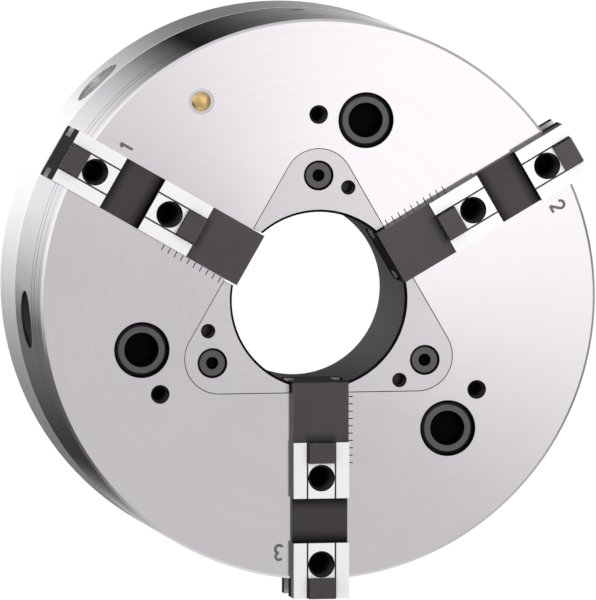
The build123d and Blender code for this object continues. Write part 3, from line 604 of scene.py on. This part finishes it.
# and the walls at the sides, which the chamfers mirror
sideGlow = ((0.0, 0.34), (0.014, 0.25), (0.04, 0.4), (0.10, 0.58), (0.136, 0.48), (0.169, 0.55),
            (0.205, 0.62), (0.239, 0.66), (0.278, 0.72), (0.317, 0.82), (0.356, 1.0), (0.394, 1.15),
            (0.436, 1.12), (0.475, 1.1), (0.514, 0.75), (0.535, 0.4), (0.5525, 0.17), (0.59, 0.11),
            (0.627, 0.14), (0.663, 0.5), (0.697, 0.75), (0.73, 0.85), (0.822, 0.75), (0.85, 0.62),
            (0.878, 0.58), (0.906, 0.48), (0.932, 0.28), (0.958, 0.30), (0.986, 0.42))
world = bpy.data.worlds.new("studio")
scene.world = world
world.use_nodes = True
tree = world.node_tree
backdrop = tree.nodes["Background"]
direction = put(tree, "ShaderNodeSeparateXYZ", {0: put(tree, "ShaderNodeTexCoord").outputs["Generated"]})
dirX, dirY, dirZ = direction.outputs
turns = calc(tree, "FRACT", calc(tree, "DIVIDE", calc(tree, "ARCTAN2", dirZ, dirX), 2 * pi))


def glowRamp(levels):
    # a colour ramp round the axis holds 32 stops at most, and its ends meet
    ramp = put(world.node_tree, "ShaderNodeValToRGB", {0: turns})
    stops = ramp.color_ramp.elements
    stops[0].position, stops[1].position = 0.0, 1.0
    stops[0].color = stops[1].color = grey(levels[0][1])
    for position, level in levels[1:]:
        stops.new(position).color = grey(level)
    return ramp.outputs[0]


aside = beyond(tree, dirX, dirZ)
toFlange = rescale(tree, aside, *studioLook["flangeFrom"], soft=True)
behind = mixValues(tree, toFlange, glowRamp(rimGlow), glowRamp(flangeGlow))
toFront = rescale(tree, dirY, *studioLook["frontFrom"], soft=True)
room = mixValues(tree, toFront, glowRamp(sideGlow), studioLook["front"])
room = mixValues(tree, rescale(tree, dirY, *studioLook["behindFrom"], soft=True), room, behind)
rays = put(tree, "ShaderNodeLightPath")
glow = mixValues(tree, rays.outputs["Is Glossy Ray"], studioLook["soft"], room)
glow = mixValues(tree, rays.outputs["Is Camera Ray"], glow, 1.0)
tree.links.new(glow, backdrop.inputs["Strength"])
tint = mixColors(tree, rays.outputs["Is Camera Ray"], (*studioLook["tint"], 1.0), grey(1.0))
tree.links.new(tint, backdrop.inputs["Color"])

# a graded card in front, which only the bright metal mirrors: it is brightest up to the right
cardLook = {"middle": (0.14, -0.9185, -0.07), "size": 1.3, "dim": 0.65, "gain": 0.56, "angle": 50.0,
            "graded": (-0.45, 1.1)}
bpy.ops.mesh.primitive_plane_add(size=cardLook["size"], location=cardLook["middle"],
                                 rotation=(pi / 2, 0.0, 0.0))
card = bpy.context.object
card.name = "frontCard"
card.visible_camera = card.visible_diffuse = card.visible_shadow = card.visible_transmission = False
cardFinish = bpy.data.materials.new("gradedCard")
cardFinish.use_nodes = True
tree = cardFinish.node_tree
tree.nodes.remove(tree.nodes["Principled BSDF"])
cardPlace = put(tree, "ShaderNodeSeparateXYZ", {0: put(tree, "ShaderNodeTexCoord").outputs["Object"]})
cardX, cardY = cardPlace.outputs[0], cardPlace.outputs[1]
toBright = calc(tree, "ADD", times(tree, cardX, cos(radians(cardLook["angle"]))),
                times(tree, cardY, sin(radians(cardLook["angle"]))))
fromMiddle = calc(tree, "MAXIMUM", beyond(tree, cardX, cardY), 0.001)
facing = rescale(tree, calc(tree, "DIVIDE", toBright, fromMiddle), *cardLook["graded"], soft=True)
shine = calc(tree, "ADD", times(tree, facing, cardLook["gain"]), cardLook["dim"])
lamp = put(tree, "ShaderNodeEmission", {"Strength": shine})
tree.links.new(lamp.outputs[0], tree.nodes["Material Output"].inputs["Surface"])
card.data.materials.append(cardFinish)

cameraLook = {"lens": 1299.2, "sensor": 36.0, "near": 1.0, "far": 100.0, "distance": 10.0,
              "right": (0.98518, -0.17155, 0.0), "up": (0.01482, 0.08511, 0.99626),
              "toCamera": (-0.17091, -0.98150, 0.08639), "shiftRight": -0.009549, "shiftUp": -0.000203}
right, up, toCamera = (Vector(cameraLook[key]) for key in ("right", "up", "toCamera"))
aim = Vector((0.0, frontFace, 0.0)) + right * cameraLook["shiftRight"] + up * cameraLook["shiftUp"]
bpy.ops.object.camera_add()
camera = bpy.context.object
camera.data.lens = cameraLook["lens"]
camera.data.sensor_width = cameraLook["sensor"]
camera.data.clip_start = cameraLook["near"]
camera.data.clip_end = cameraLook["far"]
spot = aim + toCamera * cameraLook["distance"]
camera.matrix_world = Matrix(((right.x, up.x, toCamera.x, spot.x), (right.y, up.y, toCamera.y, spot.y),
                              (right.z, up.z, toCamera.z, spot.z), (0.0, 0.0, 0.0, 1.0)))
scene.camera = camera
scene.view_settings.view_transform = "Standard"
print("studio ready")
